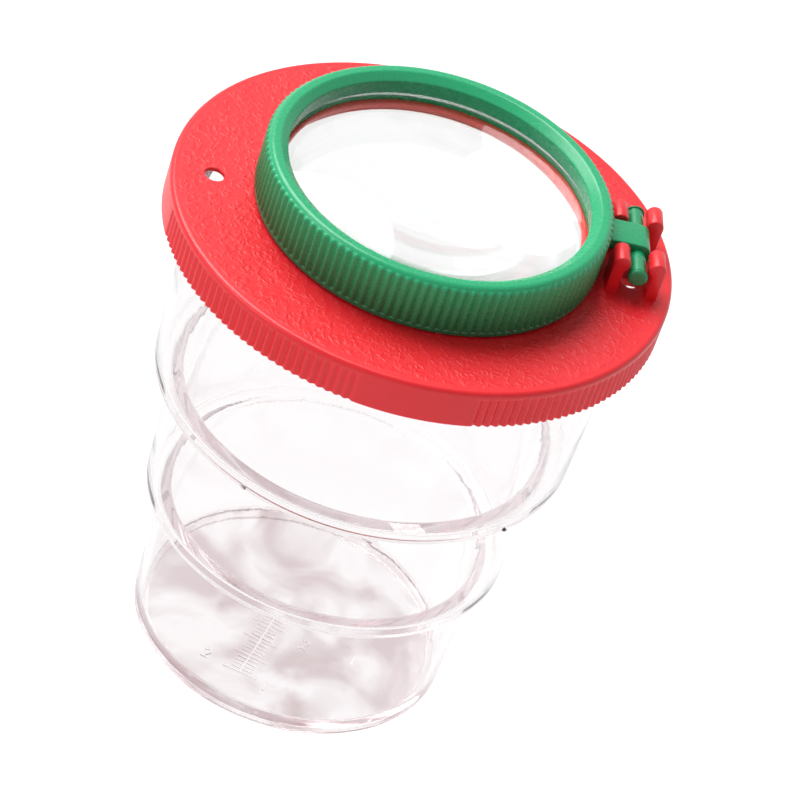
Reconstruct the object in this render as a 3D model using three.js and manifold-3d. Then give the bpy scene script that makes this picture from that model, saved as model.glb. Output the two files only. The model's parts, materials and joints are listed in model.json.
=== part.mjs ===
// Bug viewer box: a clear stepped cup, a red push-on lid with a fixed lens in its window,
// and a green lens ring that flips open on a snap-in pin at the lid's edge.
// Millimetres, +Z up. The cup stands on z = 0 with its axis on Z, and the hinge lies towards +X.
import * as THREE from 'three';
import { mergeVertices } from 'three/addons/utils/BufferGeometryUtils.js';
import Module from 'manifold-3d';

const wasm = await Module();
wasm.setup();

// Fits between pieces
const seatGap = 0.3;
const fitGap = 0.4;
const grooveGap = 0.25;

// Cup: three tiers of one wall, each a step narrower than the one above
const wall = 1.6;
const topRadius = 39.1;
const draft = 0.03;
const ledgeOneStep = 3.95;
const ledgeTwoStep = 3.4;
const lowerTierHeight = 29.5;
const middleTierHeight = 28.1;
const upperTierHeight = 33.4;
const floorThickness = 2.0;
const footDepth = 0.8;
const footWidth = 2.4;
const edgeRound = 0.7;
const neckFlare = 1.3;
const neckStraight = 1.4;
const rimBeadHeight = 2.2;

// Measuring scale raised on the cup's floor
const markHeight = 0.25;
const markWidth = 0.35;
const scalePitch = 1.0;
const scaleSteps = 20;
const ticksToLong = 5;
const tickLength = 2.0;
const longTickLength = 3.4;
const scaleCentre = [-5.6, -9.4];
const scaleTurn = -20;

// Lid
const plateThickness = 1.5;
const skirtLift = 0.6;
const skirtWall = 2.3;
const lidEdgeRound = 0.6;
const ribCount = 180;
const ribDepth = 0.45;
const ribTopGap = 1.0;
const panelCount = 4;
const panelAngle = 26;
const airHoleRadius = 1.7;
const airHoleInset = 0.5;
const airHoleLip = 0.7;
const airHoleRecess = 2.2;

// Hinge
const hingeInset = 8.2;
const pinRadius = 1.5;
const collarRadius = 1.75;
const collarWidth = 0.7;
const knuckleWall = 0.8;
const knuckleLift = 2.3;
const tabWidth = 6.4;
const tabThickness = 2.2;
const tabCrown = 0.2;
const clipGap = 0.7;
const clipLength = 4.7;
const clipStem = 2.2;
const clipBead = 1.5;
const clipOverlap = 0.1;
const clipWrap = 243;
const hingeHoleWidth = 3.4;
const hingeHoleLength = 2.5;

// Lens ring
const ringClearance = 1.7;
const ringWallThickness = 2.05;
const fluteCount = 120;
const fluteDepth = 0.4;
const fluteFoot = 0.7;
const lensLift = 3.8;
const lensDepth = 4.2;
const lipRound = 1.4;
const lipSlope = 2.3;
const lipUndercut = 0.3;

// Lenses
const flipLensEdge = 2.8;
const fixedLensEdge = 1.8;
const lensRim = 1.4;
const lensSeat = 1.2;
const lensHold = 0.5;
const flipLensTopRise = 4.0;
const flipLensFootRise = 0.6;
const fixedLensStep = 0.2;
const fixedLensRise = 1.5;
const seatTubeWall = 1.3;

// Facets round a turned piece, round a small cylinder, over a lens face and over a rounded edge
const turnFacets = 72;
const smallFacets = 20;
const lensRings = 5;
const edgeSteps = 3;

// How far a hole's cutter runs past the faces that it cuts
const cutterRun = 1.0;

// Heights and radii that follow from the sizes above
const neckHeight = 2 * neckFlare + neckStraight + rimBeadHeight;
const ledgeTwo = lowerTierHeight;
const ledgeOne = ledgeTwo + middleTierHeight;
const neckStart = ledgeOne + upperTierHeight;
const rimTop = neckStart + neckHeight;
const middleTopRadius = topRadius - ledgeOneStep;
const middleRadius = middleTopRadius - draft * middleTierHeight;
const baseTopRadius = middleRadius - ledgeTwoStep;
const baseRadius = baseTopRadius - draft * lowerTierHeight;
const upperTopRadius = topRadius + draft * upperTierHeight;
const neckRadius = upperTopRadius + neckFlare;
const rimRadius = neckRadius + neckFlare;
const floorTop = footDepth + floorThickness;

const plateBottom = rimTop + seatGap;
const lidTop = plateBottom + plateThickness;
const skirtBottom = neckStart + skirtLift;
const skirtInside = rimRadius + fitGap;
const lidRadius = skirtInside + skirtWall;
const airHolePlace = neckRadius - wall - airHoleInset - airHoleRadius;

const knuckle = pinRadius + knuckleWall;
const pinPlace = lidRadius - hingeInset;
const pinHeight = lidTop + knuckleLift + knuckle;
const tabTop = pinHeight + knuckle + tabCrown;
const clipStart = tabWidth / 2 + clipGap;
const clipEnd = clipStart + clipLength;
const clipSpread = pinRadius - clipOverlap + clipBead;
const clipReach = clipSpread + clipBead;
const beadHeight = pinHeight + Math.sqrt((pinRadius + clipBead + seatGap) ** 2 - clipSpread ** 2);

const ringRadius = pinPlace - clipReach - ringClearance;
const flipLensRadius = ringRadius - fluteDepth - ringWallThickness - grooveGap;
const flipLensBottom = lidTop + lensLift;
const ringFoot = lidTop + seatGap;
const ringTop = flipLensBottom + flipLensEdge + lensDepth;
const lipInside = flipLensRadius - lensSeat;
const fixedLensRadius = flipLensRadius - fixedLensStep;
const fixedLensTop = plateBottom - grooveGap;
const windowRadius = fixedLensRadius - lensSeat;

// A closed three.js geometry as a solid that can be joined and cut
function solid(geometry) {
  const bare = geometry.clone();
  bare.deleteAttribute('normal');
  bare.deleteAttribute('uv');
  const merged = mergeVertices(bare, 1e-4);
  const index = Array.from(merged.index.array);
  const triangles = [];
  for (let i = 0; i < index.length; i += 3) {
    const [a, b, c] = index.slice(i, i + 3);
    if (a !== b && b !== c && c !== a) triangles.push(a, b, c);
  }
  const vertProperties = new Float32Array(merged.attributes.position.array);
  const triVerts = new Uint32Array(triangles);
  return new wasm.Manifold(new wasm.Mesh({ numProp: 3, vertProperties, triVerts }));
}

// A mesh of one colour from a solid
function piece(name, body, look) {
  const mesh = body.getMesh();
  const geometry = new THREE.BufferGeometry();
  geometry.setAttribute('position', new THREE.BufferAttribute(mesh.vertProperties, 3));
  geometry.setIndex(new THREE.BufferAttribute(mesh.triVerts, 1));
  geometry.computeVertexNormals();
  const result = new THREE.Mesh(geometry, new THREE.MeshStandardMaterial(look));
  result.name = name;
  return result;
}

// A turned solid from [radius, height] points, listed upwards along the outside
function turned(profile) {
  const points = profile.map(([radius, height]) => new THREE.Vector2(radius, height));
  const closed = profile[0][0] > 0 ? [...points, points[0].clone()] : points;
  const geometry = new THREE.LatheGeometry(closed, turnFacets);
  geometry.rotateX(Math.PI / 2);
  return solid(geometry);
}

// An upright plate with a given outline
function raised(shape, bottom, top) {
  const geometry = new THREE.ExtrudeGeometry(shape, {
    depth: top - bottom,
    bevelEnabled: false,
    curveSegments: smallFacets,
  });
  geometry.translate(0, 0, bottom);
  return solid(geometry);
}

// A bar along Y whose outline is drawn in X and Z
function barAlongY(shape, start, end) {
  const geometry = new THREE.ExtrudeGeometry(shape, {
    depth: end - start,
    bevelEnabled: false,
    curveSegments: smallFacets,
  });
  geometry.rotateX(Math.PI / 2);
  geometry.translate(0, end, 0);
  return solid(geometry);
}

// A block centred on x and y, standing from bottom to top, turned about its own centre
function block(width, depth, bottom, top, x = 0, y = 0, turn = 0) {
  const geometry = new THREE.BoxGeometry(width, depth, top - bottom);
  geometry.rotateZ(THREE.MathUtils.degToRad(turn));
  geometry.translate(x, y, (bottom + top) / 2);
  return solid(geometry);
}

function outline(points) {
  return new THREE.Shape(points.map(([x, y]) => new THREE.Vector2(x, y)));
}

// Points of a rounded corner, a quarter turn from [rx, 0] to [0, rz] about its centre
function corner(centreRadius, centreHeight, rx, rz, steps) {
  const points = [];
  for (let i = 0; i <= steps; i += 1) {
    const angle = (i / steps) * (Math.PI / 2);
    points.push([centreRadius + rx * Math.cos(angle), centreHeight + rz * Math.sin(angle)]);
  }
  return points;
}

// A toothed band round the axis: two points to a tooth, at full radius where isPlain says so
function toothedBand(count, crest, valley, inside, bottom, top, isPlain = () => false) {
  const points = [];
  for (let i = 0; i < 2 * count; i += 1) {
    const angle = (i * Math.PI) / count;
    const high = i % 2 === 1 || isPlain(THREE.MathUtils.radToDeg(angle));
    const radius = high ? crest : valley;
    points.push([radius * Math.cos(angle), radius * Math.sin(angle)]);
  }
  const band = raised(outline(points), bottom, top);
  const start = bottom - cutterRun;
  const end = top + cutterRun;
  return band.subtract(turned([[0, start], [inside, start], [inside, end], [0, end]]));
}

// Clear cup with its foot, two ledges, flared neck and rim bead
function cupBody() {
  const inner = (radius) => radius - wall;
  return turned([
    [0, footDepth],
    [baseRadius - footWidth, footDepth],
    [baseRadius - footWidth, 0],
    [baseRadius - edgeRound, 0],
    [baseRadius, edgeRound],
    [baseTopRadius, ledgeTwo],
    [middleRadius - edgeRound, ledgeTwo],
    [middleRadius, ledgeTwo + edgeRound],
    [middleTopRadius, ledgeOne],
    [topRadius - edgeRound, ledgeOne],
    [topRadius, ledgeOne + edgeRound],
    [upperTopRadius, neckStart],
    [neckRadius, neckStart + neckFlare],
    [neckRadius, rimTop - rimBeadHeight - neckFlare],
    [rimRadius, rimTop - rimBeadHeight],
    [rimRadius, rimTop - edgeRound],
    [rimRadius - edgeRound, rimTop],
    [inner(neckRadius), rimTop],
    [inner(neckRadius), neckStart + neckFlare],
    [inner(upperTopRadius), neckStart],
    [inner(topRadius), ledgeOne + wall],
    [inner(middleTopRadius) + edgeRound, ledgeOne + wall],
    [inner(middleTopRadius), ledgeOne + wall - edgeRound],
    [inner(middleRadius), ledgeTwo + wall],
    [inner(baseTopRadius) + edgeRound, ledgeTwo + wall],
    [inner(baseTopRadius), ledgeTwo + wall - edgeRound],
    [inner(baseRadius), floorTop + edgeRound],
    [inner(baseRadius) - edgeRound, floorTop],
    [0, floorTop],
  ]);
}

// Ruler on the floor: a long line with ticks on both sides, every fifth one longer
function floorScale() {
  const turn = THREE.MathUtils.degToRad(scaleTurn);
  const length = scaleSteps * scalePitch;
  const bottom = floorTop - markHeight;
  const top = floorTop + markHeight;
  let marks = block(markWidth, length, bottom, top, ...scaleCentre, scaleTurn);
  for (let i = 0; i <= scaleSteps; i += 1) {
    const reach = i % ticksToLong === 0 ? longTickLength : tickLength;
    const along = i * scalePitch - length / 2;
    const x = scaleCentre[0] - along * Math.sin(turn);
    const y = scaleCentre[1] + along * Math.cos(turn);
    marks = marks.add(block(2 * reach, markWidth, bottom, top, x, y, scaleTurn));
  }
  return marks;
}

// Smooth panels that break the ribs, a quarter turn apart
function onPanel(angle) {
  const spacing = 360 / panelCount;
  const away = Math.abs(((angle + spacing / 2) % spacing) - spacing / 2);
  return away <= panelAngle / 2;
}

// Plate, skirt and the grooved seat of the fixed lens
function lidShell() {
  const face = lidRadius - ribDepth;
  const grooveBottom = fixedLensTop - fixedLensEdge - grooveGap;
  const holdHeight = 2 * lensHold;
  const seatRadius = fixedLensRadius + grooveGap;
  return turned([
    [windowRadius, plateBottom],
    [seatRadius, plateBottom],
    [seatRadius, grooveBottom],
    [fixedLensRadius - lensHold, grooveBottom - lensHold],
    [seatRadius, grooveBottom - holdHeight],
    [seatRadius + seatTubeWall, grooveBottom - holdHeight],
    [seatRadius + seatTubeWall, plateBottom],
    [skirtInside, plateBottom],
    [skirtInside, skirtBottom],
    [face, skirtBottom],
    ...corner(face - lidEdgeRound, lidTop - lidEdgeRound, lidEdgeRound, lidEdgeRound, edgeSteps),
    [windowRadius, lidTop],
  ]);
}

// Side view of one clip arm: an upright stem with a bead leaning over the pin
function clipOutline(side) {
  const shape = new THREE.Shape();
  const root = lidTop - plateThickness / 2;
  const x = (away) => pinPlace + side * away;
  const from = side > 0 ? 0 : Math.PI;
  const to = from + side * THREE.MathUtils.degToRad(clipWrap);
  shape.moveTo(x(clipReach), root);
  shape.lineTo(x(clipReach), beadHeight);
  shape.absarc(x(clipSpread), beadHeight, clipBead, from, to, side < 0);
  shape.lineTo(x(clipReach - clipStem), beadHeight - clipBead);
  shape.lineTo(x(clipReach - clipStem), root);
  shape.closePath();
  return shape;
}

// The four clip arms that hold the pin, two on each side of the tab
function clips() {
  let arms = null;
  for (const side of [-1, 1]) {
    for (const start of [-clipEnd, clipStart]) {
      const arm = barAlongY(clipOutline(side), start, start + clipLength);
      arms = arms ? arms.add(arm) : arm;
    }
  }
  return arms;
}

// An upright round cutter in the middle of the air hole
function airHoleCutter(radius, bottom, top) {
  const cutter = new THREE.CylinderGeometry(radius, radius, top - bottom, smallFacets);
  cutter.rotateX(Math.PI / 2);
  cutter.translate(-airHolePlace, 0, (bottom + top) / 2);
  return solid(cutter);
}

// Holes through the plate: under the pin on both sides of the tab, and the air hole in its recess
function lidHoles() {
  const bottom = plateBottom - cutterRun;
  const top = lidTop + cutterRun;
  const middle = clipStart + hingeHoleLength / 2;
  return block(hingeHoleWidth, hingeHoleLength, bottom, top, pinPlace, middle)
    .add(block(hingeHoleWidth, hingeHoleLength, bottom, top, pinPlace, -middle))
    .add(airHoleCutter(airHoleRadius, bottom, top))
    .add(airHoleCutter(airHoleRadius + airHoleRecess, bottom, lidTop - airHoleLip));
}

function lidBody() {
  const ribs = toothedBand(ribCount, lidRadius, lidRadius - ribDepth, skirtInside + skirtWall / 2,
    skirtBottom, lidTop - ribTopGap, onPanel);
  return lidShell().add(ribs).subtract(lidHoles()).add(clips());
}

// A lens with two domed faces inside a flat rim: footRise down from bottom, topRise up from top
function lens(radius, bottom, top, footRise, topRise) {
  const dome = (height, rise) => {
    const points = [];
    for (let i = 0; i <= lensRings; i += 1) {
      const share = i / lensRings;
      points.push([(radius - lensRim) * share, height + rise * (1 - share * share)]);
    }
    return [...points, [radius, height]];
  };
  return turned([...dome(bottom, -footRise), ...dome(top, topRise).reverse()]);
}

function fixedLensBody() {
  return lens(fixedLensRadius, fixedLensTop - fixedLensEdge, fixedLensTop, fixedLensRise, fixedLensRise);
}

function flipLensBody() {
  return lens(flipLensRadius, flipLensBottom, flipLensBottom + flipLensEdge, flipLensFootRise,
    flipLensTopRise);
}

// Ring wall with its rounded lip and the grooved lens seat inside
function ringWall() {
  const core = ringRadius - fluteDepth;
  const grooveRadius = flipLensRadius + grooveGap;
  const grooveTop = flipLensBottom + flipLensEdge + grooveGap;
  const grooveBottom = flipLensBottom - grooveGap;
  const crest = (ringRadius + lipInside) / 2;
  return turned([
    [grooveRadius, ringFoot],
    [core, ringFoot],
    [core, ringTop - lipRound],
    ...corner(ringRadius - lipRound, ringTop - lipRound, lipRound, lipRound, edgeSteps),
    [crest, ringTop],
    [lipInside, ringTop - lipSlope],
    [lipInside + lipUndercut, ringTop - lipSlope - lipUndercut],
    [lipInside + lipUndercut, grooveTop],
    [grooveRadius, grooveTop],
    [grooveRadius, grooveBottom],
    [flipLensRadius - lensHold, grooveBottom - lensHold],
    [grooveRadius, grooveBottom - 2 * lensHold],
  ]);
}

// Side view of the hinge tab: flat on top, bent down round the pin at its end
function tabOutline() {
  const start = ringRadius - fluteDepth - ringWallThickness / 2;
  const end = pinPlace + knuckle;
  const shape = new THREE.Shape();
  shape.moveTo(start, tabTop);
  shape.lineTo(pinPlace, tabTop);
  shape.quadraticCurveTo(end, tabTop, end, pinHeight);
  shape.absarc(pinPlace, pinHeight, knuckle, 0, Math.PI, true);
  shape.lineTo(pinPlace - knuckle, tabTop - tabThickness);
  shape.lineTo(start, tabTop - tabThickness);
  shape.closePath();
  return shape;
}

// Pin with a collar at each end, moulded with the ring
function hingePin() {
  const pinEnd = clipEnd + seatGap + collarWidth;
  const shaft = new THREE.CylinderGeometry(pinRadius, pinRadius, 2 * pinEnd - collarWidth, smallFacets);
  shaft.translate(pinPlace, 0, pinHeight);
  let pin = solid(shaft);
  for (const side of [-1, 1]) {
    const collar = new THREE.CylinderGeometry(collarRadius, collarRadius, collarWidth, smallFacets);
    collar.translate(pinPlace, side * (pinEnd - collarWidth / 2), pinHeight);
    pin = pin.add(solid(collar));
  }
  return pin;
}

function lensRingBody() {
  const flutes = toothedBand(fluteCount, ringRadius, ringRadius - fluteDepth,
    ringRadius - fluteDepth - ringWallThickness / 2, ringFoot + fluteFoot, ringTop - lipRound);
  const tab = barAlongY(tabOutline(), -tabWidth / 2, tabWidth / 2);
  return ringWall().add(flutes).add(tab).add(hingePin());
}

const box = new THREE.Group();
box.add(piece('clear_cup', cupBody().add(floorScale()), {
  color: 0xf1e6e8,
  roughness: 0.05,
  metalness: 0,
  transparent: true,
  opacity: 0.35,
}));
box.add(piece('lid', lidBody(), { color: 0xe8323a, roughness: 0.45, metalness: 0 }));
box.add(piece('fixed_lens', fixedLensBody(), {
  color: 0xf7fbfb,
  roughness: 0.03,
  metalness: 0,
  transparent: true,
  opacity: 0.3,
}));
box.add(piece('lens_ring', lensRingBody(), { color: 0x1fa566, roughness: 0.35, metalness: 0 }));
box.add(piece('flip_lens', flipLensBody(), {
  color: 0xf4faf9,
  roughness: 0.03,
  metalness: 0,
  transparent: true,
  opacity: 0.3,
}));

export default box;
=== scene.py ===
import json
import math

import bmesh
import bpy
import numpy as np
from mathutils import Matrix, Vector


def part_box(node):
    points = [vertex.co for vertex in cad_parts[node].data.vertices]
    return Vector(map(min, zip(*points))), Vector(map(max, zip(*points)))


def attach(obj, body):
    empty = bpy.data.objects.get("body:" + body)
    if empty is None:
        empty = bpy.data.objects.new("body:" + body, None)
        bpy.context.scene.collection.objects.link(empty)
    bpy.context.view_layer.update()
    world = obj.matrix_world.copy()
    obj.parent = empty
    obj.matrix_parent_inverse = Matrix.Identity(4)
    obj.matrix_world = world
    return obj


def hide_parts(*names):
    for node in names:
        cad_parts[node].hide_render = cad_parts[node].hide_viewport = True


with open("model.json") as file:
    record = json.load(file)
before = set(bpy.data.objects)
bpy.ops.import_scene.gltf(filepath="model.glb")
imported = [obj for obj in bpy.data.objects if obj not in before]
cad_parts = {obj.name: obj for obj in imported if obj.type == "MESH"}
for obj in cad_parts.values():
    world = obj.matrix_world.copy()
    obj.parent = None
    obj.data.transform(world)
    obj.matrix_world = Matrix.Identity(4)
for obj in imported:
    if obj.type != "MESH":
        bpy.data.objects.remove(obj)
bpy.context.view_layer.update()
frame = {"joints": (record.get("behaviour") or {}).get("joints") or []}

# Lengths below are in millimetres, in the frame's own axes, and become metres in the meshes
MM = 0.001

# Sizes read from the frame
cup_high = np.array(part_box("clear_cup")[1]) / MM
lid_low, lid_high = [np.array(corner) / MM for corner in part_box("lid")]
ring_low, ring_high = [np.array(corner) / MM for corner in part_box("lens_ring")]
flip_low, flip_high = [np.array(corner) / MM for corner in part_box("flip_lens")]
fixed_low, fixed_high = [np.array(corner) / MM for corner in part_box("fixed_lens")]
PIN = np.array(next(j for j in frame["joints"] if j["name"] == "lens_flip")["pos_m"]) / MM

SEAT_GAP = 0.3
RIM_RADIUS = cup_high[1]
RIM_TOP = cup_high[2]
LID_RADIUS = lid_high[1]
LID_TOP = ring_low[2] - SEAT_GAP
SKIRT_BOTTOM = lid_low[2]
RING_RADIUS = ring_high[1]
RING_FOOT = ring_low[2]
RING_TOP = ring_high[2]
FLIP_RADIUS = flip_high[1]
FLIP_TOP_RISE = 4.0
FLIP_FOOT_RISE = 0.6
FLIP_LOW = flip_low[2] + FLIP_FOOT_RISE
FLIP_HIGH = flip_high[2] - FLIP_TOP_RISE
FIXED_RADIUS = fixed_high[1]
FIXED_RISE = 1.5
FIXED_LOW = fixed_low[2] + FIXED_RISE
FIXED_HIGH = fixed_high[2] - FIXED_RISE

# Cup
WALL = 1.6
DRAFT = 0.03
TOP_RADIUS = 39.1
LEDGE_ONE_STEP = 3.95
LEDGE_TWO_STEP = 3.4
LEDGE_TWO = 29.5
LEDGE_ONE = 57.6
NECK_START = 91.0
NECK_FLARE = 1.3
RIM_BEAD = 2.2
FOOT_DEPTH = 0.8
FOOT_WIDTH = 2.4
FLOOR_TOP = 2.8
CUP_SEGMENTS = 320
GATE_MARK_ANGLES = (-48.8, -123.2)
GATE_MARK_RADIUS = 0.55
GATE_MARK_RISE = 1
GATE_MARK_SEGMENTS = 20

# Ruler and numbers raised on the cup's floor
MARK_HEIGHT = 0.25
MARK_WIDTH = 0.35
SCALE_PITCH = 1.0
SCALE_STEPS = 20
TICKS_TO_LONG = 5
TICK_LENGTH = 2.0
LONG_TICK_LENGTH = 3.4
SCALE_CENTRE = (-5.6, -9.4)
SCALE_TURN = math.radians(-20)
NUMBER_HEIGHT = 2.2
NUMBER_PLACES = (("2", -15.3, -15.5), ("1", -4.3, -21.4), ("2", 3.0, -8.2), ("1", 12.4, -9.5))
MITRE_LIMIT = 0.4

# Lid
PLATE = 1.5
SKIRT_WALL = 2.3
LID_EDGE = 0.8
RIB_COUNT = 180
RIB_SEGMENTS = 8
RIB_DEPTH = 0.4
RIB_TOP = LID_TOP - 1.3
RIB_END = 0.5
RIB_END_ROWS = (RIB_END, 0.3, 0.15, 0.05, 0)
PANEL_COUNT = 4
PANEL_HALF = math.radians(13)
PANEL_FADE = 0.3
LENS_SEAT = 1.2
LENS_HOLD = 0.5
GROOVE_GAP = 0.25
SEAT_TUBE = 1.3
AIR_HOLE = 1.7
AIR_HOLE_PLACE = 37.6
AIR_HOLE_LIP = 0.7
AIR_HOLE_EDGE = 0.2
AIR_HOLE_RECESS = 2.2
AIR_HOLE_SEGMENTS = 64
PIN_HOLE_WIDTH = 3.2
PIN_HOLE_LENGTH = 2.5
CUTTER_REACH = 1

# Hinge
PIN_RADIUS = 1.5
PIN_SEGMENTS = 48
COLLAR_RADIUS = 1.75
COLLAR_WIDTH = 0.7
KNUCKLE = 2.3
TAB_WIDTH = 6.4
TAB_THICKNESS = 2.2
TAB_TOP = PIN[2] + 2.5
TAB_BEND_STEPS = 12
TAB_BEVEL = 0.75
CLIP_START = 3.9
CLIP_LENGTH = 4.7
CLIP_BEAD = 1.5
CLIP_BEAD_END = 215
CLIP_STEM = 2.2
CLIP_SPREAD = 3.2
CLIP_RISE = 1.5
CLIP_ROOT = 0.7 * PLATE
CLIP_BEVEL = 0.25

# Lens ring: a little wider than the solid, and as far towards the hinge as its pin has play
RING_SWELL = 0.2
RING_PLAY = 0.4
RING_WALL = 2.05
FLUTE_COUNT = 120
FLUTE_SEGMENTS = 10
FLUTE_DEPTH = 0.45
FLUTE_FOOT = 0.7
FLUTE_TOP_GAP = 0.6
FLUTE_END = 0.7
FLUTE_ROW = 0.15
RING_CORE = RING_RADIUS + RING_SWELL - FLUTE_DEPTH
FLUTES_INSIDE = RING_CORE - 0.8
FOOT_STEP = 0.2
LIP_SHOULDER = 0.95
LIP_CROWN = 0.8
LIP_BROW = 1.6
LIP_SLOPE = 1.2
LIP_UNDERCUT = 0.2

# Lenses
LENS_RIM = 1.4
LENS_CHAMFER = 0.2
LENS_ROWS = 28
LENS_SEGMENTS = 192

# Ribs and flutes
RIDGE_POWER = 0.8

# Edges: beside each fillet a short run stays straight, so that its shading stays on the fillet
FILLET_SUPPORT = 0.3
BEVEL_ANGLE = math.radians(40)
SMOOTH_ANGLE = math.radians(38)

# Faces that take a second material: how far their normals rise, and how near the plate's top
UPRIGHT_RISE = 0.8
LEVEL_RISE = 0.99
TOP_REACH = 0.02

# Colours, as linear red, green and blue
WHITE = (1, 1, 1)
RED_DEEP = (0.97, 0.012, 0.022)
RED_PALE = (0.99, 0.018, 0.030)
GREEN_TOP = (0.010, 0.47, 0.190)
# Painted shade: the darker green given to the ring's wall towards its foot
GREEN_PAINTED_SHADE = (0.004, 0.16, 0.050)
CUP_CLEAR = (0.988, 0.980, 0.982)
# Painted shadow: the darker, pinker tint over the cup's floor, for the shadow beneath the cup
CUP_PAINTED_SHADOW = (0.64, 0.535, 0.55)
CUP_TINT = (0.80, 0.71, 0.73)
LENS_CLEAR = (0.99, 0.995, 0.995)
LENS_GROUND = (0.80, 0.90, 0.87)
LENS_TINT = (0.8, 0.95, 0.9)
FLOOR_PAPER = (0.93, 0.93, 0.93)

# Plastics, with absorption per metre
MOULDED_IOR = 1.5
CUP_IOR = 1.55
LENS_IOR = 1.49
CUP_DENSITY = 34
LENS_DENSITY = 2
LID_ROUGHNESS = 0.34
GRAIN_ROUGHNESS = 0.42
RING_ROUGHNESS = 0.27
GROUND_ROUGHNESS = 0.5
RED_SCATTER = 0.15
RED_SCATTER_DEPTH = 3
SCATTER_SPREAD = (1.0, 0.2, 0.2)
RIPPLE_DEPTH = 0.02
SKIN_DEPTH = 0.004
CUP_RIPPLE = 0.05
LENS_RIPPLE = 0.005
# Painted shadow on the cup's floor: the heights over which it fades out above the floor
PAINTED_SHADOW_TOP = (FLOOR_TOP + 0.1, FLOOR_TOP + 0.2)
# Painted shade on the ring: its share at the foot, and the heights over which it fades out
FOOT_SHADE = 0.75
FOOT_SHADE_SPAN = (RING_FOOT + 1.5, RING_TOP - 0.8)

# The plate's grain
GRAIN_CELL = 1.25
GRAIN_DEPTH = 0.07
GRAIN_WARP = 1.6
GRAIN_PATCH = 1.7
GRAIN_EDGE = (LID_RADIUS - 1.9, LID_RADIUS - 1.3)
GATE_SPOT_EDGE = (1.0, 1.5)

# Light and floor, where a strength of 1 is white
WORLD_LIGHT = 0.19
FLOOR_LIFT = 0.30
FLOOR_GLOW = 1.07
FLOOR_WHITE_THROUGH = 0.96
FLOOR_ROUGHNESS = 0.9
FLOOR_DROP = 0.03
FLOOR_REACH = 3000
LIGHT_BOUNCES = 32

# Camera: a long lens, turned about its own axis as in the photograph; distance and clip in metres
CAMERA_AZIMUTH = math.radians(-11.5)
CAMERA_ELEVATION = math.radians(38.4)
CAMERA_ROLL = math.radians(19.23)
CAMERA_DISTANCE = 0.6986
CAMERA_CLIP = 0.05
FOCAL_PIXELS = 4000
FRAME_PIXELS = 800
SENSOR_MM = 36
LID_CENTRE_PIXEL = (424.55, 220.44)


# Outlines and meshes

def unit(vector):
    return vector / np.linalg.norm(vector)


def filleted(corners, closed, steps=6, support=FILLET_SUPPORT):
    """Points along an outline of (radius, height, fillet) corners"""
    points = []
    count = len(corners)
    for i, (radius, height, fillet) in enumerate(corners):
        here = np.array([radius, height], float)
        if fillet == 0 or (not closed and i in (0, count - 1)):
            points.append(here)
            continue
        before = np.array(corners[i - 1][:2], float) - here
        after = np.array(corners[(i + 1) % count][:2], float) - here
        a, b = unit(before), unit(after)
        half = math.acos(np.clip(a @ b, -1, 1)) / 2
        back = fillet / math.tan(half)
        centre = here + unit(a + b) * fillet / math.sin(half)
        start, end = here + a * back - centre, here + b * back - centre
        sweep = math.atan2(start[0] * end[1] - start[1] * end[0], start @ end)
        points.append(centre + start + a * min(support, (np.linalg.norm(before) - back) / 3))
        for k in range(steps + 1):
            turn = sweep * k / steps
            c, s = math.cos(turn), math.sin(turn)
            turned = np.array([c * start[0] - s * start[1], s * start[0] + c * start[1]])
            points.append(centre + turned)
        points.append(centre + end + b * min(support, (np.linalg.norm(after) - back) / 3))
    return points


def turned_mesh(name, points, segments, closed=True, shape=None):
    """A surface turned about Z from (radius, height) points

    shape(angle, radius, height) may vary the radius.
    """
    angles = np.arange(segments) * 2 * math.pi / segments
    vertices, rows = [], []
    for radius, height in points:
        if radius < 1e-6:
            rows.append([len(vertices)] * segments)
            vertices.append((0, 0, height * MM))
            continue
        radii = np.full(segments, radius) if shape is None else shape(angles, radius, height)
        rows.append(range(len(vertices), len(vertices) + segments))
        vertices.extend(zip(radii * np.cos(angles) * MM, radii * np.sin(angles) * MM,
                            np.full(segments, height * MM)))
    faces = []
    for i in range(len(rows) if closed else len(rows) - 1):
        low, high = rows[i], rows[(i + 1) % len(rows)]
        for j in range(segments):
            k = (j + 1) % segments
            face = [low[j], low[k], high[k], high[j]]
            faces.append(list(dict.fromkeys(face)))
    return new_object(name, vertices, faces)


def new_object(name, vertices, faces):
    mesh = bpy.data.meshes.new(name)
    mesh.from_pydata([tuple(v) for v in vertices], [], faces)
    mesh.update()
    piece = bpy.data.objects.new(name, mesh)
    bpy.context.collection.objects.link(piece)
    return piece


def bar_mesh(name, outline, start, end):
    """A bar along Y from its outline in X and Z, listed anticlockwise as seen from the front"""
    count = len(outline)
    vertices = [(x * MM, y * MM, z * MM) for y in (start, end) for x, z in outline]
    faces = [list(range(count)), list(range(2 * count - 1, count - 1, -1))]
    for i in range(count):
        k = (i + 1) % count
        faces.append([k, i, count + i, count + k])
    return new_object(name, vertices, faces)


def arc(centre, radius, start, end, steps):
    angles = np.radians(np.linspace(start, end, steps + 1))
    return [(centre[0] + radius * math.cos(a), centre[1] + radius * math.sin(a)) for a in angles]


def raised_outline(name, outline, bottom, top, turn, place):
    """An upright piece with an anticlockwise outline in X and Y, turned and then moved"""
    c, s = math.cos(turn), math.sin(turn)
    flat = [(place[0] + c * x - s * y, place[1] + s * x + c * y) for x, y in outline]
    count = len(flat)
    vertices = [(x * MM, y * MM, z * MM) for z in (bottom, top) for x, y in flat]
    faces = [list(range(count - 1, -1, -1)), list(range(count, 2 * count))]
    for i in range(count):
        k = (i + 1) % count
        faces.append([i, k, count + k, count + i])
    return new_object(name, vertices, faces)


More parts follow.
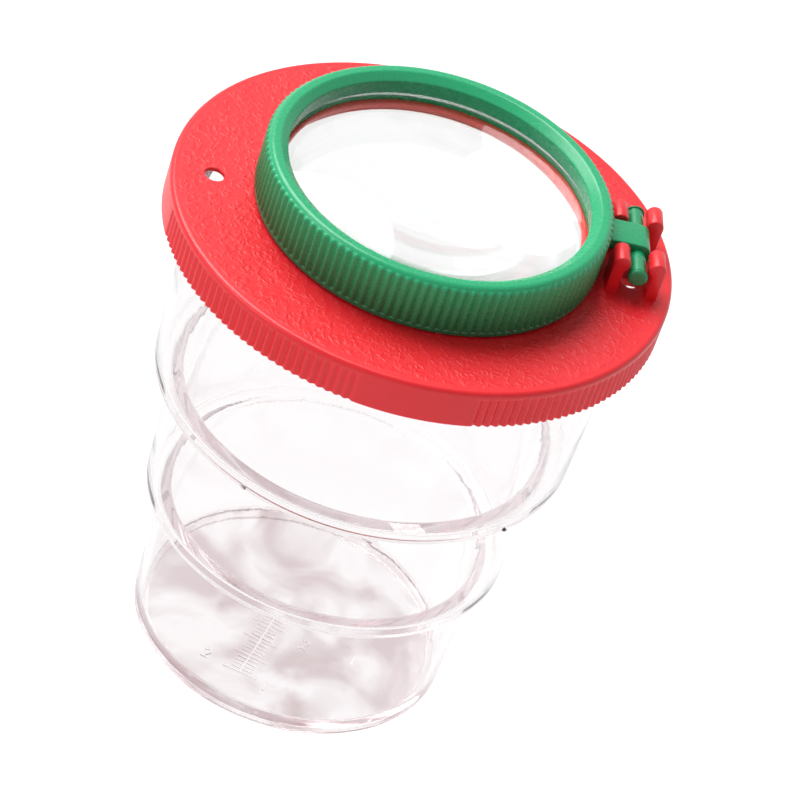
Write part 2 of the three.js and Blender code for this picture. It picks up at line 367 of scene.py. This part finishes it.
def ribbon(line, width):
    """The outline of a stroke of even width along a line of points"""
    points = [np.array(point, float) for point in line]
    left, right = [], []
    for i, point in enumerate(points):
        before, after = points[max(i - 1, 0)], points[min(i + 1, len(points) - 1)]
        steps = [point - before, after - point]
        ways = [unit(step) for step in steps if np.linalg.norm(step) > 0]
        way = unit(sum(ways))
        side = np.array([-way[1], way[0]]) * width / 2 / max(way @ ways[0], MITRE_LIMIT)
        left.append(point + side)
        right.append(point - side)
    return right + left[::-1]


def apply_modifiers(piece):
    evaluated = piece.evaluated_get(bpy.context.evaluated_depsgraph_get())
    mesh = bpy.data.meshes.new_from_object(evaluated)
    piece.modifiers.clear()
    piece.data = mesh


def bevel(piece, width, segments=3):
    modifier = piece.modifiers.new("edges", "BEVEL")
    modifier.width = width * MM
    modifier.segments = segments
    modifier.limit_method = "ANGLE"
    modifier.angle_limit = BEVEL_ANGLE
    apply_modifiers(piece)


def combine(piece, others, operation):
    """Joins other objects to a piece, or cuts them from it, and removes them"""
    for other in others:
        modifier = piece.modifiers.new("combine", "BOOLEAN")
        modifier.operation = operation
        modifier.object = other
        modifier.solver = "EXACT"
        apply_modifiers(piece)
        bpy.data.objects.remove(other)


def smooth(piece):
    mesh = bmesh.new()
    mesh.from_mesh(piece.data)
    bmesh.ops.recalc_face_normals(mesh, faces=mesh.faces)
    for edge in mesh.edges:
        edge.smooth = edge.calc_face_angle(0) < SMOOTH_ANGLE
    for face in mesh.faces:
        face.smooth = True
    mesh.to_mesh(piece.data)
    mesh.free()


# Materials

class Graph:
    """Short ways to add and wire nodes"""

    def __init__(self, owner):
        owner.use_nodes = True
        self.nodes = owner.node_tree.nodes
        self.links = owner.node_tree.links

    def add(self, kind, **settings):
        node = self.nodes.new(kind)
        for key, value in settings.items():
            setattr(node, key, value)
        return node

    def link(self, source, target):
        self.links.new(source, target)

    def span(self, value, low, high, to_low, to_high):
        node = self.add("ShaderNodeMapRange")
        ends = {"From Min": low, "From Max": high, "To Min": to_low, "To Max": to_high}
        for key, number in ends.items():
            node.inputs[key].default_value = number
        self.link(value, node.inputs["Value"])
        return node.outputs["Result"]

    def math(self, operation, first, second):
        """One Math node on two values, each a socket or a number"""
        node = self.add("ShaderNodeMath", operation=operation)
        for socket, value in zip(node.inputs, (first, second)):
            if isinstance(value, (int, float)):
                socket.default_value = value
            else:
                self.link(value, socket)
        return node.outputs["Value"]

    def looked_at(self, directly, through):
        """One value for camera rays and one for glossy and transmission rays

        It is 0 for the rays that light things.
        """
        path = self.add("ShaderNodeLightPath").outputs
        plastic = self.math("MAXIMUM", path["Is Glossy Ray"], path["Is Transmission Ray"])
        camera = self.math("MULTIPLY", path["Is Camera Ray"], directly)
        return self.math("MAXIMUM", camera, self.math("MULTIPLY", plastic, through))


class Shader(Graph):
    """A Principled material whose relief and drifts are measured in millimetres"""

    def __init__(self, name):
        self.material = bpy.data.materials.new(name)
        super().__init__(self.material)
        self.bsdf = self.nodes["Principled BSDF"]
        self.place = self.add("ShaderNodeTexCoord").outputs["Object"]

    def set(self, **values):
        for key, value in values.items():
            self.bsdf.inputs[key.replace("_", " ")].default_value = value

    def drive(self, name, source):
        """Wires a value to one of the shader's own inputs"""
        self.link(source, self.bsdf.inputs[name])

    def noise(self, size, detail=2.0, roughness=0.5, distortion=0.0):
        """Noise whose features are about size millimetres wide"""
        node = self.add("ShaderNodeTexNoise")
        node.inputs["Scale"].default_value = 1 / (size * MM)
        node.inputs["Detail"].default_value = detail
        node.inputs["Roughness"].default_value = roughness
        node.inputs["Distortion"].default_value = distortion
        self.link(self.place, node.inputs["Vector"])
        return node.outputs

    def span_mm(self, length, limits, to_low, to_high):
        """Maps a length in metres between two limits in millimetres"""
        return self.span(length, limits[0] * MM, limits[1] * MM, to_low, to_high)

    def blend(self, factor, first, second):
        node = self.add("ShaderNodeMix", data_type="RGBA")
        self.link(factor, node.inputs["Factor"])
        for key, colour in (("A", first), ("B", second)):
            socket = next(s for s in node.inputs if s.name == key and s.type == "RGBA")
            socket.default_value = (*colour, 1)
        return next(s for s in node.outputs if s.type == "RGBA")

    def bump(self, height, depth, normal=None):
        """Relief that is depth millimetres deep where height goes from 0 to 1"""
        node = self.add("ShaderNodeBump")
        node.inputs["Strength"].default_value = 1.0
        node.inputs["Distance"].default_value = depth * MM
        self.link(height, node.inputs["Height"])
        if normal is not None:
            self.link(normal, node.inputs["Normal"])
        return node.outputs["Normal"]

    def height(self):
        """Height above the frame's origin, in metres"""
        split = self.add("ShaderNodeSeparateXYZ")
        self.link(self.place, split.inputs[0])
        return split.outputs["Z"]

    def distance(self, x, y):
        """Distance in metres from an upright line through x, y in millimetres"""
        shift = self.add("ShaderNodeVectorMath", operation="SUBTRACT")
        self.link(self.place, shift.inputs[0])
        shift.inputs[1].default_value = (x * MM, y * MM, 0)
        flat = self.add("ShaderNodeVectorMath", operation="MULTIPLY")
        self.link(shift.outputs["Vector"], flat.inputs[0])
        flat.inputs[1].default_value = (1, 1, 0)
        length = self.add("ShaderNodeVectorMath", operation="LENGTH")
        self.link(flat.outputs["Vector"], length.inputs[0])
        return length.outputs["Value"]


def moulded_plastic(name, roughness):
    """Plastic with a faint flow ripple and a fine satin skin, before its colour is wired"""
    shader = Shader(name)
    skin = shader.noise(size=0.9, detail=4, roughness=0.6)["Fac"]
    shader.drive("Roughness", shader.span(skin, 0.3, 0.7, roughness - 0.05, roughness + 0.06))
    shader.set(IOR=MOULDED_IOR)
    ripple = shader.bump(shader.noise(size=6, detail=2)["Fac"], RIPPLE_DEPTH)
    shader.normal = shader.bump(skin, SKIN_DEPTH, ripple)
    shader.drive("Normal", shader.normal)
    return shader


def red_plastic(name, roughness):
    """The lid's red, which drifts slowly and lets light a little way in"""
    shader = moulded_plastic(name, roughness)
    drift = shader.span(shader.noise(size=14, detail=3)["Fac"], 0.3, 0.7, 0, 1)
    shader.drive("Base Color", shader.blend(drift, RED_DEEP, RED_PALE))
    shader.set(Subsurface_Weight=RED_SCATTER, Subsurface_Scale=RED_SCATTER_DEPTH * MM,
               Subsurface_Radius=SCATTER_SPREAD)
    return shader


def lid_gloss():
    return red_plastic("lid_gloss", LID_ROUGHNESS).material


def lid_grain():
    """The plate's leather grain: worm-like ridges that fade out at the rim and a moulding point"""
    shader = red_plastic("lid_grain", GRAIN_ROUGHNESS)
    push = shader.add("ShaderNodeVectorMath", operation="MULTIPLY_ADD")
    shader.link(shader.noise(size=GRAIN_PATCH)["Color"], push.inputs[0])
    push.inputs[1].default_value = (GRAIN_WARP * MM, GRAIN_WARP * MM, 0)
    shader.link(shader.place, push.inputs[2])
    cells = shader.add("ShaderNodeTexVoronoi", feature="DISTANCE_TO_EDGE")
    cells.inputs["Scale"].default_value = 1 / (GRAIN_CELL * MM)
    shader.link(push.outputs["Vector"], cells.inputs["Vector"])
    ridges = shader.span(cells.outputs["Distance"], 0.0, 0.26, 1.0, 0.0)
    patches = shader.span(shader.noise(size=GRAIN_PATCH, detail=1)["Fac"], 0.38, 0.60, 0.1, 1.0)
    flecks = shader.noise(size=0.9, detail=2, distortion=1.0)["Fac"]
    flakes = shader.span(flecks, 0.35, 0.65, 0.0, 0.3)
    grain = shader.math("ADD", shader.math("MULTIPLY", ridges, patches), flakes)
    outer = shader.span_mm(shader.distance(0, 0), GRAIN_EDGE, 1, 0)
    gate = shader.span_mm(shader.distance(0, -AIR_HOLE_PLACE), GATE_SPOT_EDGE, 0, 1)
    height = shader.math("MULTIPLY", grain, shader.math("MULTIPLY", outer, gate))
    shader.drive("Normal", shader.bump(height, GRAIN_DEPTH, shader.normal))
    return shader.material


def ring_gloss():
    """The ring's green, with painted shade that darkens it towards its foot, standing in for the
    shade that falls on the ring's wall
    """
    shader = moulded_plastic("ring_gloss", RING_ROUGHNESS)
    # Painted shade, strongest at the foot and gone near the top of the wall
    foot = shader.span_mm(shader.height(), FOOT_SHADE_SPAN, FOOT_SHADE, 0.0)
    shader.drive("Base Color", shader.blend(foot, GREEN_TOP, GREEN_PAINTED_SHADE))
    return shader.material


def clear_plastic(name, colour, ior, roughness, ripple, tint, density):
    """Clear plastic with faint waves and rubbed patches, tinted where light runs far inside it"""
    shader = Shader(name)
    volume = shader.add("ShaderNodeVolumeAbsorption")
    volume.inputs["Color"].default_value = (*tint, 1)
    volume.inputs["Density"].default_value = density
    shader.link(volume.outputs["Volume"], shader.nodes["Material Output"].inputs["Volume"])
    shader.set(Base_Color=(*colour, 1), IOR=ior, Transmission_Weight=1.0)
    haze = shader.noise(size=9, detail=4)["Fac"]
    shader.drive("Roughness", shader.span(haze, 0.35, 0.75, roughness, roughness + 0.05))
    waves = shader.bump(shader.noise(size=16, detail=2, distortion=0.6)["Fac"], ripple)
    fine = shader.bump(shader.noise(size=1.2, detail=3)["Fac"], ripple / 20, waves)
    shader.drive("Normal", fine)
    return shader


def cup_clear():
    """The cup's clear plastic, with a painted shadow in slow drifts over its floor: a darker,
    pinker tint that stands in for the shadow beneath the cup
    """
    shader = clear_plastic("cup_clear", CUP_CLEAR, CUP_IOR, roughness=0.0, ripple=CUP_RIPPLE,
                           tint=CUP_TINT, density=CUP_DENSITY)
    low = shader.span_mm(shader.height(), PAINTED_SHADOW_TOP, 1.0, 0.0)
    # Painted shadow in slow drifts, standing in for the shadow beneath the cup
    shadow_noise = shader.noise(size=13, detail=2, distortion=0.8)["Fac"]
    drift = shader.span(shadow_noise, 0.40, 0.60, 0.15, 1.0)
    factor = shader.math("MULTIPLY", low, drift)
    shader.drive("Base Color", shader.blend(factor, CUP_CLEAR, CUP_PAINTED_SHADOW))
    return shader.material


def lens_plastic(name, colour, roughness, ripple):
    """The lenses' plastic, polished or ground"""
    return clear_plastic(name, colour, LENS_IOR, roughness, ripple,
                         tint=LENS_TINT, density=LENS_DENSITY).material


# Pieces

def raised_mark(name, outline, place):
    """A mark that stands on the cup's floor, turned with the ruler"""
    return raised_outline(name, outline, FLOOR_TOP - MARK_HEIGHT, FLOOR_TOP + MARK_HEIGHT,
                          SCALE_TURN, place)


def ruler():
    """A line with ticks on both sides, every fifth one longer"""
    half, length = MARK_WIDTH / 2, SCALE_STEPS * SCALE_PITCH
    outline = []
    for side in (1, -1):
        for i in range(SCALE_STEPS + 1):
            reach = LONG_TICK_LENGTH if i % TICKS_TO_LONG == 0 else TICK_LENGTH
            along = i * SCALE_PITCH - length / 2
            tick = [(half, along - half), (reach, along - half),
                    (reach, along + half), (half, along + half)]
            outline += [(side * x, side * y) for x, y in tick]
    return raised_mark("ruler", outline, SCALE_CENTRE)


def number(digit, x, y):
    """A plain raised figure, 1 or 2, drawn as one stroke"""
    half, bend = NUMBER_HEIGHT / 2, NUMBER_HEIGHT / 4
    stroke = [(0, -half), (0, half)]
    if digit == "2":
        stroke = arc((0, half - bend), bend, 170, -35, 8) + [(-bend, -half), (bend, -half)]
    return raised_mark("number", ribbon(stroke, MARK_WIDTH), (x, y))


def gate_mark(angle):
    """A small round mark left by the moulding, half sunk in the wall above the upper ledge"""
    half_round = arc((0, 0), GATE_MARK_RADIUS, -90, 90, GATE_MARK_SEGMENTS // 2)
    ball = turned_mesh("gate_mark", half_round, GATE_MARK_SEGMENTS, closed=False)
    place = (TOP_RADIUS * math.cos(math.radians(angle)),
             TOP_RADIUS * math.sin(math.radians(angle)), LEDGE_ONE + GATE_MARK_RISE)
    ball.data.transform(Matrix.Translation(Vector(place) * MM))
    return ball


def cup():
    """The clear stepped cup as one turned moulding, with its ruler and marks"""
    middle_top = TOP_RADIUS - LEDGE_ONE_STEP
    middle = middle_top - DRAFT * (LEDGE_ONE - LEDGE_TWO)
    base_top = middle - LEDGE_TWO_STEP
    base = base_top - DRAFT * LEDGE_TWO
    upper_top = TOP_RADIUS + DRAFT * (NECK_START - LEDGE_ONE)
    neck = upper_top + NECK_FLARE
    corners = [
        (0, FOOT_DEPTH, 0),
        (base - FOOT_WIDTH, FOOT_DEPTH, 0.3),
        (base - FOOT_WIDTH, 0, 0.3),
        (base, 0, 0.9),
        (base_top, LEDGE_TWO, 0.7),
        (middle, LEDGE_TWO, 0.9),
        (middle_top, LEDGE_ONE, 0.7),
        (TOP_RADIUS, LEDGE_ONE, 0.9),
        (upper_top, NECK_START, 1.2),
        (neck, NECK_START + NECK_FLARE, 0.9),
        (neck, RIM_TOP - RIM_BEAD - NECK_FLARE, 0.6),
        (RIM_RADIUS, RIM_TOP - RIM_BEAD, 0.6),
        (RIM_RADIUS, RIM_TOP, 0.6),
        (neck - WALL, RIM_TOP, 0.5),
        (neck - WALL, NECK_START + NECK_FLARE, 1.2),
        (upper_top - WALL, NECK_START, 0.9),
        (TOP_RADIUS - WALL, LEDGE_ONE + WALL, 0.8),
        (middle_top - WALL, LEDGE_ONE + WALL, 0.6),
        (middle - WALL, LEDGE_TWO + WALL, 0.8),
        (base_top - WALL, LEDGE_TWO + WALL, 0.6),
        (base - WALL, FLOOR_TOP, 0.9),
        (0, FLOOR_TOP, 0),
    ]
    points = filleted(corners, closed=False)
    piece = turned_mesh("cup_moulding", points, CUP_SEGMENTS, closed=False)
    marks = [ruler()] + [number(*place) for place in NUMBER_PLACES]
    combine(piece, marks + [gate_mark(angle) for angle in GATE_MARK_ANGLES], "UNION")
    smooth(piece)
    return piece


def ridge(phase):
    """Height of a soft ridge, 0 in the groove and 1 on the crest, for a phase in turns"""
    return (0.5 - 0.5 * np.cos(2 * math.pi * phase)) ** RIDGE_POWER


def rounded_end(inside, reach):
    """A quarter round that rises from 0 at an end to 1 at reach inside it"""
    share = np.clip(inside / reach, 0, 1)
    return np.sqrt(1 - (1 - share) ** 2)


def skirt_shape(angle, radius, height):
    """Ribs round the skirt, left plain on the panels and under the top edge"""
    if radius < LID_RADIUS - SKIRT_WALL / 2:
        return np.full_like(angle, radius)
    spacing = 2 * math.pi / PANEL_COUNT
    away = np.abs((angle + spacing / 2) % spacing - spacing / 2)
    fade = np.clip((away - PANEL_HALF) * LID_RADIUS / PANEL_FADE, 0, 1)
    fade *= rounded_end(RIB_TOP - height, RIB_END)
    return radius - RIB_DEPTH * (1 - ridge(angle * RIB_COUNT / (2 * math.pi))) * fade


def lid_shell():
    """Plate, skirt and lens seat, with the window, the air hole and the holes under the pin"""
    seat = FIXED_RADIUS + GROOVE_GAP
    plate_bottom = LID_TOP - PLATE
    groove_bottom = FIXED_LOW - GROOVE_GAP
    inside = LID_RADIUS - SKIRT_WALL
    corners = [
        (FIXED_RADIUS - LENS_SEAT, plate_bottom, 0.15),
        (seat, plate_bottom, 0.1),
        (seat, groove_bottom, 0.1),
        (FIXED_RADIUS - LENS_HOLD, groove_bottom - LENS_HOLD, 0.15),
        (seat, groove_bottom - 2 * LENS_HOLD, 0.1),
        (seat + SEAT_TUBE, groove_bottom - 2 * LENS_HOLD, 0.3),
        (seat + SEAT_TUBE, plate_bottom, 0.3),
        (inside, plate_bottom, 0.5),
        (inside, SKIRT_BOTTOM, 0.3),
        (LID_RADIUS, SKIRT_BOTTOM, 0.25),
        *[(LID_RADIUS, RIB_TOP - drop, 0) for drop in RIB_END_ROWS],
        (LID_RADIUS, LID_TOP, LID_EDGE),
        (FIXED_RADIUS - LENS_SEAT, LID_TOP, 0.3),
    ]
    points = filleted(corners, closed=True, steps=5)
    piece = turned_mesh("lid_moulding", points, RIB_COUNT * RIB_SEGMENTS, shape=skirt_shape)
    combine(piece, [air_hole_cutter(), pin_hole_cutter(-1), pin_hole_cutter(1)], "DIFFERENCE")
    return piece


def air_hole_cutter():
    """A turned cutter: a recess from below, the hole, and a small rounded edge at its top"""
    bottom = LID_TOP - PLATE - CUTTER_REACH
    recess_top = LID_TOP - AIR_HOLE_LIP
    corners = [
        (0, bottom, 0),
        (AIR_HOLE + AIR_HOLE_RECESS, bottom, 0),
        (AIR_HOLE + AIR_HOLE_RECESS, recess_top, 0.1),
        (AIR_HOLE, recess_top, 0.05),
        (AIR_HOLE, LID_TOP - AIR_HOLE_EDGE, 0.2),
        (AIR_HOLE + 2 * AIR_HOLE_EDGE, LID_TOP + AIR_HOLE_EDGE, 0),
        (0, LID_TOP + AIR_HOLE_EDGE, 0),
    ]
    points = filleted(corners, closed=False)
    cutter = turned_mesh("air_hole_cutter", points, AIR_HOLE_SEGMENTS, closed=False)
    cutter.data.transform(Matrix.Translation((-AIR_HOLE_PLACE * MM, 0, 0)))
    return cutter


def pin_hole_cutter(side):
    """The moulding's hole through the plate under the pin, on one side of the tab"""
    half, end = PIN_HOLE_WIDTH / 2, CLIP_START + PIN_HOLE_LENGTH
    outline = [(-half, CLIP_START), (half, CLIP_START), *arc((0, end - half), half, 0, 180, 12)]
    turn = 0 if side > 0 else math.pi
    return raised_outline("pin_hole_cutter", outline, LID_TOP - PLATE - CUTTER_REACH,
                          LID_TOP + CUTTER_REACH, turn, (PIN[0], 0))


def clip_arm(name, side, start):
    """One clip arm: an upright stem with a round bead that leans over the pin"""
    bead_height = PIN[2] + CLIP_RISE
    outer = CLIP_SPREAD + CLIP_BEAD
    inner = outer - CLIP_STEM
    root = LID_TOP - CLIP_ROOT
    outline = [(outer, root)]
    outline += arc((CLIP_SPREAD, bead_height), CLIP_BEAD, 0, CLIP_BEAD_END, 20)
    outline += [(inner, bead_height - CLIP_BEAD), (inner, root)]
    outline = [(PIN[0] + side * x, z) for x, z in outline]
    if side < 0:
        outline.reverse()
    piece = bar_mesh(name, outline, start, start + CLIP_LENGTH)
    bevel(piece, CLIP_BEVEL)
    return piece


def lid():
    piece = lid_shell()
    arms = []
    for side in (-1, 1):
        for start in (-CLIP_START - CLIP_LENGTH, CLIP_START):
            arms.append(clip_arm("clip_arm", side, start))
    combine(piece, arms, "UNION")
    smooth(piece)
    return piece


def flute_shape(angle, radius, height):
    """Upright ridges on the ring wall, each with a rounded end above and below"""
    if radius < FLUTES_INSIDE:
        return np.full_like(angle, radius)
    low, high = RING_FOOT + FLUTE_FOOT, RING_TOP - FLUTE_TOP_GAP
    ends = rounded_end(height - low, FLUTE_END) * rounded_end(high - height, FLUTE_END)
    return radius + FLUTE_DEPTH * ridge(angle * FLUTE_COUNT / (2 * math.pi)) * ends


def ring_wall():
    """Fluted ring wall with its rounded lip and the grooved lens seat"""
    groove = FLIP_RADIUS + GROOVE_GAP
    groove_top = FLIP_HIGH + GROOVE_GAP
    groove_bottom = FLIP_LOW - GROOVE_GAP
    lip_inside = FLIP_RADIUS - LENS_SEAT
    corners = [
        (groove, RING_FOOT, 0.15),
        (RING_CORE + FOOT_STEP, RING_FOOT, 0.2),
        (RING_CORE + FOOT_STEP, RING_FOOT + FLUTE_FOOT, 0.2),
        (RING_CORE, RING_FOOT + FLUTE_FOOT + FOOT_STEP, 0.1),
        (RING_CORE, RING_TOP, LIP_SHOULDER),
        (lip_inside + LIP_BROW, RING_TOP, LIP_CROWN),
        (lip_inside, RING_TOP - LIP_SLOPE, 0.4),
        (lip_inside + LIP_UNDERCUT, groove_top, 0.1),
        (groove, groove_top, 0.1),
        (groove, groove_bottom, 0.1),
        (FLIP_RADIUS - LENS_HOLD, groove_bottom - LENS_HOLD, 0.15),
        (groove, groove_bottom - 2 * LENS_HOLD, 0.1),
    ]
    points = subdivided(filleted(corners, closed=True), FLUTE_ROW)
    return turned_mesh("ring_moulding", points, FLUTE_COUNT * FLUTE_SEGMENTS, shape=flute_shape)


def subdivided(points, step):
    """Adds points to the outer wall so that the ridges' ends come out round"""
    dense = []
    for here, after in zip(points, points[1:] + points[:1]):
        dense.append(here)
        outside = min(here[0], after[0]) > FLUTES_INSIDE
        pieces = math.ceil(np.linalg.norm(after - here) / step) if outside else 1
        dense.extend(here + (after - here) * k / pieces for k in range(1, pieces))
    return dense


def hinge_tab():
    """The tab: flat on top, bent down round the pin at its end"""
    start = RING_RADIUS - FLUTE_DEPTH - RING_WALL / 2
    end = PIN[0] + KNUCKLE
    bottom = TAB_TOP - TAB_THICKNESS
    outline = [(start, bottom), (PIN[0] - KNUCKLE, bottom)]
    outline += arc((PIN[0], PIN[2]), KNUCKLE, 180, 360, 20)
    for k in range(1, TAB_BEND_STEPS + 1):
        t = k / TAB_BEND_STEPS
        shares = ((1 - t) ** 2, 2 * t * (1 - t), t ** 2)
        outline.append((shares[0] * end + shares[1] * end + shares[2] * PIN[0],
                        shares[0] * PIN[2] + shares[1] * TAB_TOP + shares[2] * TAB_TOP))
    outline.append((start, TAB_TOP))
    piece = bar_mesh("hinge_tab", outline, -TAB_WIDTH / 2, TAB_WIDTH / 2)
    bevel(piece, TAB_BEVEL, segments=5)
    return piece


def hinge_pin():
    """The pin with a domed collar at each end"""
    end = CLIP_START + CLIP_LENGTH + SEAT_GAP + COLLAR_WIDTH
    inner = end - COLLAR_WIDTH
    corners = [
        (0, -end, 0),
        (COLLAR_RADIUS, -end, 0.5),
        (COLLAR_RADIUS, -inner, 0.2),
        (PIN_RADIUS, -inner, 0.15),
        (PIN_RADIUS, inner, 0.15),
        (COLLAR_RADIUS, inner, 0.2),
        (COLLAR_RADIUS, end, 0.5),
        (0, end, 0),
    ]
    points = filleted(corners, closed=False, support=0.1)
    piece = turned_mesh("hinge_pin", points, PIN_SEGMENTS, closed=False)
    place = Matrix.Translation(Vector(PIN) * MM)
    piece.data.transform(place @ Matrix.Rotation(math.pi / 2, 4, "X"))
    return piece


def towards_hinge(piece):
    """Moves the ring wall or its lens by the play that the pin has in its clips"""
    piece.data.transform(Matrix.Translation(Vector((RING_PLAY, 0, 0)) * MM))


def lens_ring():
    piece = ring_wall()
    towards_hinge(piece)
    combine(piece, [hinge_tab(), hinge_pin()], "UNION")
    smooth(piece)
    return piece


def lens(name, radius, bottom, top, low_rise, high_rise):
    """A lens with two domed faces inside a flat rim that lies between bottom and top"""
    domed = radius - LENS_RIM
    face = [(domed * k / LENS_ROWS, 1 - (k / LENS_ROWS) ** 2) for k in range(LENS_ROWS + 1)]
    edge = [(radius - LENS_CHAMFER, 0), (radius, LENS_CHAMFER)]
    points = [(r, bottom - low_rise * z) for r, z in face] + [(r, bottom + z) for r, z in edge]
    points += [(r, top - z) for r, z in reversed(edge)]
    points += [(r, top + high_rise * z) for r, z in reversed(face)]
    piece = turned_mesh(name, points, LENS_SEGMENTS, closed=False)
    smooth(piece)
    return piece


# Scene

def set_camera():
    azimuth, elevation, roll = CAMERA_AZIMUTH, CAMERA_ELEVATION, CAMERA_ROLL
    back = Vector((math.sin(azimuth) * math.cos(elevation),
                   -math.cos(azimuth) * math.cos(elevation), math.sin(elevation)))
    level = Vector((math.cos(azimuth), math.sin(azimuth), 0))
    upward = back.cross(level)
    right = math.cos(roll) * level + math.sin(roll) * upward
    up = -math.sin(roll) * level + math.cos(roll) * upward
    per_pixel = CAMERA_DISTANCE / FOCAL_PIXELS
    across = (LID_CENTRE_PIXEL[0] - FRAME_PIXELS / 2) * per_pixel
    above = (FRAME_PIXELS / 2 - LID_CENTRE_PIXEL[1]) * per_pixel
    place = Vector((0, 0, LID_TOP * MM)) + back * CAMERA_DISTANCE - right * across - up * above
    data = bpy.data.cameras.new("camera")
    data.sensor_width = SENSOR_MM
    data.lens = FOCAL_PIXELS * SENSOR_MM / FRAME_PIXELS
    data.clip_start = CAMERA_CLIP
    camera = bpy.data.objects.new("camera", data)
    camera.matrix_world = Matrix((
        (right.x, up.x, back.x, place.x),
        (right.y, up.y, back.y, place.y),
        (right.z, up.z, back.z, place.z),
        (0, 0, 0, 1),
    ))
    bpy.context.collection.objects.link(camera)
    bpy.context.scene.camera = camera


def set_world():
    """White where it is looked at or seen in plastic, and dimmer as a light"""
    world = bpy.data.worlds.new("studio")
    bpy.context.scene.world = world
    graph = Graph(world)
    background = graph.nodes["Background"]
    background.inputs["Color"].default_value = (*WHITE, 1)
    strength = graph.span(graph.looked_at(1.0, 1.0), 0.0, 1.0, WORLD_LIGHT, 1.0)
    graph.link(strength, background.inputs["Strength"])


def set_floor():
    """A white floor that keeps the object's shadow

    It is lifted a little where it is looked at, and glows white where it is seen in plastic.
    """
    corners = [(x * FLOOR_REACH * MM, y * FLOOR_REACH * MM, -FLOOR_DROP * MM)
               for x, y in ((-1, -1), (1, -1), (1, 1), (-1, 1))]
    floor = new_object("floor", corners, [[0, 1, 2, 3]])
    material = bpy.data.materials.new("floor_paper")
    graph = Graph(material)
    paper = graph.nodes["Principled BSDF"]
    paper.inputs["Base Color"].default_value = (*FLOOR_PAPER, 1)
    paper.inputs["Roughness"].default_value = FLOOR_ROUGHNESS
    paper.inputs["Specular IOR Level"].default_value = 0.0
    paper.inputs["Emission Color"].default_value = (*WHITE, 1)
    graph.link(graph.looked_at(FLOOR_LIFT, 0.0), paper.inputs["Emission Strength"])
    glow = graph.add("ShaderNodeEmission")
    glow.inputs["Strength"].default_value = FLOOR_GLOW
    mix = graph.add("ShaderNodeMixShader")
    graph.link(graph.looked_at(0.0, FLOOR_WHITE_THROUGH), mix.inputs["Fac"])
    graph.link(paper.outputs["BSDF"], mix.inputs[1])
    graph.link(glow.outputs["Emission"], mix.inputs[2])
    graph.link(mix.outputs["Shader"], graph.nodes["Material Output"].inputs["Surface"])
    floor.data.materials.append(material)


def broad_light(name, towards, width, strength):
    """A distant lamp that covers width degrees of the sky, even over the whole floor"""
    data = bpy.data.lights.new(name, "SUN")
    data.angle = math.radians(width)
    data.energy = strength
    light = bpy.data.objects.new(name, data)
    light.rotation_euler = (-Vector(towards)).to_track_quat("-Z", "Y").to_euler()
    bpy.context.collection.objects.link(light)


def dress(piece, material, body, node):
    piece.data.materials.clear()
    piece.data.materials.append(material)
    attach(piece, body)
    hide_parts(node)


def ground_edge(piece, material):
    """Gives a lens's upright edge the ground material"""
    piece.data.materials.append(material)
    for face in piece.data.polygons:
        if abs(face.normal.z) < UPRIGHT_RISE:
            face.material_index = 1


def grain_top(piece, material):
    """Gives the plate's flat top the grained material"""
    piece.data.materials.append(material)
    for face in piece.data.polygons:
        radius = math.hypot(face.center.x, face.center.y) / MM
        top = face.normal.z > LEVEL_RISE and abs(face.center.z / MM - LID_TOP) < TOP_REACH
        if top and radius < LID_RADIUS - LID_EDGE:
            face.material_index = 1


set_camera()
set_world()
set_floor()
broad_light("key", towards=(-0.35, 0.45, 0.80), width=44, strength=3.0)
broad_light("side", towards=(-0.80, -0.25, 0.40), width=34, strength=0.62)

cup_piece = cup()
dress(cup_piece, cup_clear(), "cup", "clear_cup")
lid_piece = lid()
dress(lid_piece, lid_gloss(), "lid", "lid")
grain_top(lid_piece, lid_grain())
ring_piece = lens_ring()
dress(ring_piece, ring_gloss(), "lens_ring", "lens_ring")
lens_clear = lens_plastic("lens_clear", LENS_CLEAR, roughness=0.0, ripple=LENS_RIPPLE)
lens_edge = lens_plastic("lens_edge", LENS_GROUND, roughness=GROUND_ROUGHNESS, ripple=0.0)
flip_piece = lens("flip_lens_polished", FLIP_RADIUS, FLIP_LOW, FLIP_HIGH,
                  low_rise=FLIP_FOOT_RISE, high_rise=FLIP_TOP_RISE)
towards_hinge(flip_piece)
dress(flip_piece, lens_clear, "lens_ring", "flip_lens")
ground_edge(flip_piece, lens_edge)
fixed_piece = lens("fixed_lens_polished", FIXED_RADIUS, FIXED_LOW, FIXED_HIGH,
                   low_rise=FIXED_RISE, high_rise=FIXED_RISE)
dress(fixed_piece, lens_clear, "lid", "fixed_lens")
ground_edge(fixed_piece, lens_edge)
# The lamps shine through the clear pieces, which only bend and tint what is seen in them
for clear_piece in (cup_piece, flip_piece, fixed_piece):
    clear_piece.visible_shadow = False

scene = bpy.context.scene
scene.view_settings.view_transform = "Standard"
scene.cycles.max_bounces = LIGHT_BOUNCES
scene.cycles.transmission_bounces = LIGHT_BOUNCES
scene.cycles.glossy_bounces = LIGHT_BOUNCES
